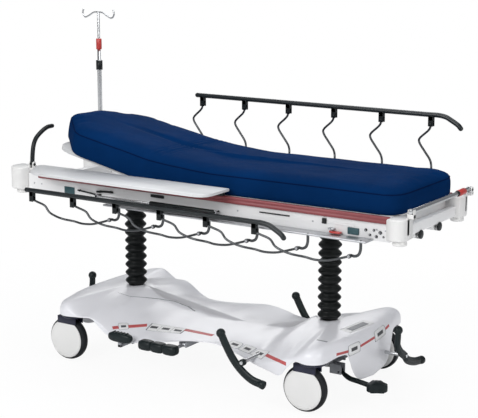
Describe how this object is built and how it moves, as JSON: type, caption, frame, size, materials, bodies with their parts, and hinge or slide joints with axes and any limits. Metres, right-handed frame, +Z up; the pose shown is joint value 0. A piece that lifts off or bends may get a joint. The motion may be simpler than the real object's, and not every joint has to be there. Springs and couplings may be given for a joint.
{
  "type": "hospital transport stretcher",
  "caption": "Wheeled hospital stretcher with hydraulic lift columns, fold-down siderails, raising backrest, drip poles, foot pedals and a padded mattress.",
  "frame": {"origin": "centre of the footprint of the bounding box, on the floor", "axes": "+X towards the foot end, +Y towards the side with the raised siderail, +Z up"},
  "size_m": [2.1459, 0.896, 1.5927],
  "materials": {
    "hood_plastic": "satin",
    "base_steel": "satin",
    "litter_paint": "satin",
    "cover_plastic": "gloss",
    "tyre_rubber": "matte",
    "plated_steel": "polished",
    "bellows_rubber": "satin",
    "black_plastic": "satin",
    "rail_black": "satin",
    "rail_steel": "satin",
    "bumper_red": "satin",
    "board_grey": "satin",
    "mattress_cover": "satin",
    "latch_red": "satin",
    "handle_black": "satin"
  },
  "bodies": {
    "base": {"base_frame": "base_steel", "base_hood": "hood_plastic", "foot_jack_cylinder": "plated_steel", "head_jack_cylinder": "plated_steel", "foot_bellows": "bellows_rubber", "head_bellows": "bellows_rubber"},
    "foot_sleeve": {"foot_jack_sleeve": "plated_steel"},
    "head_sleeve": {"head_jack_sleeve": "plated_steel"},
    "foot_ram": {"foot_jack_ram": "plated_steel"},
    "head_ram": {"head_jack_ram": "plated_steel"},
    "litter": {"litter_frame": "litter_paint", "near_bumper_band": "bumper_red", "far_bumper_band": "bumper_red", "near_foot_corner_block": "cover_plastic", "far_foot_corner_block": "cover_plastic", "near_head_corner_block": "cover_plastic", "far_head_corner_block": "cover_plastic", "mattress_seat": "mattress_cover", "mattress_fold": "mattress_cover", "near_pivot_rail": "rail_steel", "far_pivot_rail": "rail_steel", "backrest_gas_spring": "black_plastic"},
    "backrest": {"back_deck": "board_grey", "mattress_back": "mattress_cover"},
    "near_rail": {"near_top_rail": "rail_black"},
    "near_arm_1": {"near_spindle_1": "plated_steel"},
    "near_arm_2": {"near_spindle_2": "plated_steel"},
    "near_arm_3": {"near_spindle_3": "plated_steel"},
    "near_arm_4": {"near_spindle_4": "plated_steel"},
    "near_arm_5": {"near_spindle_5": "plated_steel"},
    "near_arm_6": {"near_spindle_6": "plated_steel"},
    "far_rail": {"far_top_rail": "rail_black"},
    "far_arm_1": {"far_spindle_1": "plated_steel"},
    "far_arm_2": {"far_spindle_2": "plated_steel"},
    "far_arm_3": {"far_spindle_3": "plated_steel"},
    "far_arm_4": {"far_spindle_4": "plated_steel"},
    "far_arm_5": {"far_spindle_5": "plated_steel"},
    "far_arm_6": {"far_spindle_6": "plated_steel"},
    "pole_base": {"drip_pole_base": "plated_steel"},
    "pole_middle": {"drip_pole_middle": "plated_steel"},
    "pole_top": {"drip_pole_top": "plated_steel"},
    "stowed_pole": {"stowed_drip_pole": "plated_steel"},
    "push_handle": {"near_push_handle": "handle_black"},
    "board": {"side_board": "board_grey"},
    "latch": {"near_rail_latch": "latch_red"},
    "near_lever": {"near_steer_lever": "handle_black"},
    "far_lever": {"far_steer_lever": "handle_black"},
    "foot_lever": {"foot_steer_lever": "handle_black"},
    "head_lever": {"head_steer_lever": "handle_black"},
    "foot_pump": {"foot_pump_pedal": "black_plastic"},
    "near_pump": {"near_pump_pedal": "black_plastic"},
    "near_release": {"near_release_pedal": "black_plastic"},
    "near_foot_swivel": {"near_foot_caster_fork": "cover_plastic"},
    "near_foot_roll": {"near_foot_caster_wheel": "tyre_rubber"},
    "far_foot_swivel": {"far_foot_caster_fork": "cover_plastic"},
    "far_foot_roll": {"far_foot_caster_wheel": "tyre_rubber"},
    "near_head_swivel": {"near_head_caster_fork": "cover_plastic"},
    "near_head_roll": {"near_head_caster_wheel": "tyre_rubber"},
    "far_head_swivel": {"far_head_caster_fork": "cover_plastic"},
    "far_head_roll": {"far_head_caster_wheel": "tyre_rubber"}
  },
  "joints": [
    {"name": "lift", "type": "slide", "parent": "base", "child": "foot_ram", "axis": [0, 0, 1], "range_m": [-0.345, 0], "deforming": ["foot_bellows", "head_bellows"]},
    {"name": "foot_sleeve_slide", "type": "slide", "parent": "base", "child": "foot_sleeve", "axis": [0, 0, 1], "range_m": [-0.173, 0]},
    {"name": "tilt", "type": "hinge", "parent": "foot_ram", "child": "litter", "pos_m": [0.5425, 0.042, 0.735], "axis": [0, -1, 0], "range_deg": [0, 18]},
    {"name": "head_ram_slide", "type": "slide", "parent": "foot_ram", "child": "head_ram", "axis": [0, 0, 1], "range_m": [-0.344, 0]},
    {"name": "head_sleeve_slide", "type": "slide", "parent": "foot_sleeve", "child": "head_sleeve", "axis": [0, 0, 1], "range_m": [-0.172, 0]},
    {"name": "backrest_hinge", "type": "hinge", "parent": "litter", "child": "backrest", "pos_m": [-0.2145, 0.042, 0.862], "axis": [0, 1, 0], "range_deg": [-12, 78], "deforming": ["mattress_fold"]},
    {"name": "near_siderail", "type": "hinge", "parent": "litter", "child": "near_arm_1", "pos_m": [-0.3835, -0.329, 0.709], "axis": [0, 1, 0], "range_deg": [0, 10]},
    {"name": "near_arm_2_hinge", "type": "hinge", "parent": "litter", "child": "near_arm_2", "pos_m": [-0.1395, -0.329, 0.709], "axis": [0, 1, 0], "range_deg": [0, 10]},
    {"name": "near_arm_3_hinge", "type": "hinge", "parent": "litter", "child": "near_arm_3", "pos_m": [0.1045, -0.329, 0.709], "axis": [0, 1, 0], "range_deg": [0, 10]},
    {"name": "near_arm_4_hinge", "type": "hinge", "parent": "litter", "child": "near_arm_4", "pos_m": [0.3485, -0.329, 0.709], "axis": [0, 1, 0], "range_deg": [0, 10]},
    {"name": "near_arm_5_hinge", "type": "hinge", "parent": "litter", "child": "near_arm_5", "pos_m": [0.5925, -0.329, 0.709], "axis": [0, 1, 0], "range_deg": [0, 10]},
    {"name": "near_arm_6_hinge", "type": "hinge", "parent": "litter", "child": "near_arm_6", "pos_m": [0.8365, -0.329, 0.709], "axis": [0, 1, 0], "range_deg": [0, 10]},
    {"name": "near_rail_pin", "type": "hinge", "parent": "near_arm_1", "child": "near_rail", "pos_m": [-0.8175, -0.353, 0.759], "axis": [0, 1, 0], "range_deg": [-10, 0]},
    {"name": "far_siderail", "type": "hinge", "parent": "litter", "child": "far_arm_1", "pos_m": [-0.3835, 0.413, 0.709], "axis": [0, -1, 0], "range_deg": [0, 81.3]},
    {"name": "far_arm_2_hinge", "type": "hinge", "parent": "litter", "child": "far_arm_2", "pos_m": [-0.1395, 0.413, 0.709], "axis": [0, -1, 0], "range_deg": [0, 81.3]},
    {"name": "far_arm_3_hinge", "type": "hinge", "parent": "litter", "child": "far_arm_3", "pos_m": [0.1045, 0.413, 0.709], "axis": [0, -1, 0], "range_deg": [0, 81.3]},
    {"name": "far_arm_4_hinge", "type": "hinge", "parent": "litter", "child": "far_arm_4", "pos_m": [0.3485, 0.413, 0.709], "axis": [0, -1, 0], "range_deg": [0, 81.3]},
    {"name": "far_arm_5_hinge", "type": "hinge", "parent": "litter", "child": "far_arm_5", "pos_m": [0.5925, 0.413, 0.709], "axis": [0, -1, 0], "range_deg": [0, 81.3]},
    {"name": "far_arm_6_hinge", "type": "hinge", "parent": "litter", "child": "far_arm_6", "pos_m": [0.8365, 0.413, 0.709], "axis": [0, -1, 0], "range_deg": [0, 81.3]},
    {"name": "far_rail_pin", "type": "hinge", "parent": "far_arm_1", "child": "far_rail", "pos_m": [-0.3995, 0.437, 1.146], "axis": [0, -1, 0], "range_deg": [-81.3, 0]},
    {"name": "pole_fold", "type": "hinge", "parent": "litter", "child": "pole_base", "pos_m": [-0.9705, 0.348, 0.9], "axis": [1, 0, 0], "range_deg": [0, 90]},
    {"name": "pole_middle_slide", "type": "slide", "parent": "pole_base", "child": "pole_middle", "axis": [0, 0, 1], "range_m": [0, 0.33]},
    {"name": "pole_top_slide", "type": "slide", "parent": "pole_middle", "child": "pole_top", "axis": [0, 0, 1], "range_m": [0, 0.4]},
    {"name": "stowed_pole_hinge", "type": "hinge", "parent": "litter", "child": "stowed_pole", "pos_m": [1.0595, 0.332, 0.9], "axis": [-1, 0, 0], "range_deg": [0, 90]},
    {"name": "push_handle_hinge", "type": "hinge", "parent": "litter", "child": "push_handle", "pos_m": [-0.9295, -0.22, 0.897], "axis": [-1, 0, 0], "range_deg": [0, 90]},
    {"name": "board_lift_off", "type": "slide", "parent": "litter", "child": "board", "axis": [0, 0, 1], "range_m": [0, 0.15]},
    {"name": "latch_hinge", "type": "hinge", "parent": "litter", "child": "latch", "pos_m": [0.7145, -0.262, 0.7825], "axis": [0, 0, -1], "range_deg": [0, 60]},
    {"name": "steer_near", "type": "hinge", "parent": "base", "child": "near_lever", "pos_m": [0.3605, -0.378, 0.19], "axis": [0, 1, 0], "range_deg": [-12, 12]},
    {"name": "steer_far", "type": "hinge", "parent": "base", "child": "far_lever", "pos_m": [0.2755, 0.392, 0.161], "axis": [0, 1, 0], "range_deg": [-12, 12]},
    {"name": "steer_foot", "type": "hinge", "parent": "base", "child": "foot_lever", "pos_m": [0.8555, 0.159, 0.163], "axis": [1, 0, 0], "range_deg": [-12, 12]},
    {"name": "steer_head", "type": "hinge", "parent": "base", "child": "head_lever", "pos_m": [-0.8345, 0.159, 0.163], "axis": [1, 0, 0], "range_deg": [-12, 12]},
    {"name": "foot_pump_hinge", "type": "hinge", "parent": "base", "child": "foot_pump", "pos_m": [0.6725, -0.083, 0.128], "axis": [0, 1, 0], "range_deg": [0, 16], "stiffness_Nm_per_rad": 6, "springref_deg": -11.46},
    {"name": "near_pump_hinge", "type": "hinge", "parent": "base", "child": "near_pump", "pos_m": [-0.3075, -0.286, 0.146], "axis": [1, 0, 0], "range_deg": [0, 15], "stiffness_Nm_per_rad": 6, "springref_deg": -11.46},
    {"name": "near_release_hinge", "type": "hinge", "parent": "base", "child": "near_release", "pos_m": [-0.0095, -0.286, 0.18], "axis": [1, 0, 0], "range_deg": [0, 15], "stiffness_Nm_per_rad": 6, "springref_deg": -11.46},
    {"name": "near_foot_caster_swivel", "type": "hinge", "parent": "base", "child": "near_foot_swivel", "pos_m": [0.654, -0.293, 0.2], "axis": [0, 0, 1], "continuous": true},
    {"name": "near_foot_caster_roll", "type": "hinge", "parent": "near_foot_swivel", "child": "near_foot_roll", "pos_m": [0.6205, -0.293, 0.1015], "axis": [0, 1, 0], "continuous": true},
    {"name": "far_foot_caster_swivel", "type": "hinge", "parent": "base", "child": "far_foot_swivel", "pos_m": [0.654, 0.377, 0.2], "axis": [0, 0, 1], "continuous": true},
    {"name": "far_foot_caster_roll", "type": "hinge", "parent": "far_foot_swivel", "child": "far_foot_roll", "pos_m": [0.6205, 0.377, 0.1015], "axis": [0, 1, 0], "continuous": true},
    {"name": "near_head_caster_swivel", "type": "hinge", "parent": "base", "child": "near_head_swivel", "pos_m": [-0.633, -0.293, 0.2], "axis": [0, 0, 1], "continuous": true},
    {"name": "near_head_caster_roll", "type": "hinge", "parent": "near_head_swivel", "child": "near_head_roll", "pos_m": [-0.6665, -0.293, 0.1015], "axis": [0, 1, 0], "continuous": true},
    {"name": "far_head_caster_swivel", "type": "hinge", "parent": "base", "child": "far_head_swivel", "pos_m": [-0.633, 0.377, 0.2], "axis": [0, 0, 1], "continuous": true},
    {"name": "far_head_caster_roll", "type": "hinge", "parent": "far_head_swivel", "child": "far_head_roll", "pos_m": [-0.6665, 0.377, 0.1015], "axis": [0, 1, 0], "continuous": true}
  ],
  "couplings": [
    {"joint": "foot_sleeve_slide", "follows": "lift", "ratio": 0.5},
    {"joint": "head_ram_slide", "follows": "tilt", "m_per_rad": -1.0906},
    {"joint": "head_sleeve_slide", "follows": "tilt", "m_per_rad": -0.5453},
    {"joint": "near_arm_2_hinge", "follows": "near_siderail", "ratio": 1},
    {"joint": "near_arm_3_hinge", "follows": "near_siderail", "ratio": 1},
    {"joint": "near_arm_4_hinge", "follows": "near_siderail", "ratio": 1},
    {"joint": "near_arm_5_hinge", "follows": "near_siderail", "ratio": 1},
    {"joint": "near_arm_6_hinge", "follows": "near_siderail", "ratio": 1},
    {"joint": "near_rail_pin", "follows": "near_siderail", "ratio": -1},
    {"joint": "far_arm_2_hinge", "follows": "far_siderail", "ratio": 1},
    {"joint": "far_arm_3_hinge", "follows": "far_siderail", "ratio": 1},
    {"joint": "far_arm_4_hinge", "follows": "far_siderail", "ratio": 1},
    {"joint": "far_arm_5_hinge", "follows": "far_siderail", "ratio": 1},
    {"joint": "far_arm_6_hinge", "follows": "far_siderail", "ratio": 1},
    {"joint": "far_rail_pin", "follows": "far_siderail", "ratio": -1},
    {"joint": "steer_far", "follows": "steer_near", "ratio": 1},
    {"joint": "steer_foot", "follows": "steer_near", "ratio": 1},
    {"joint": "steer_head", "follows": "steer_near", "ratio": 1}
  ]
}
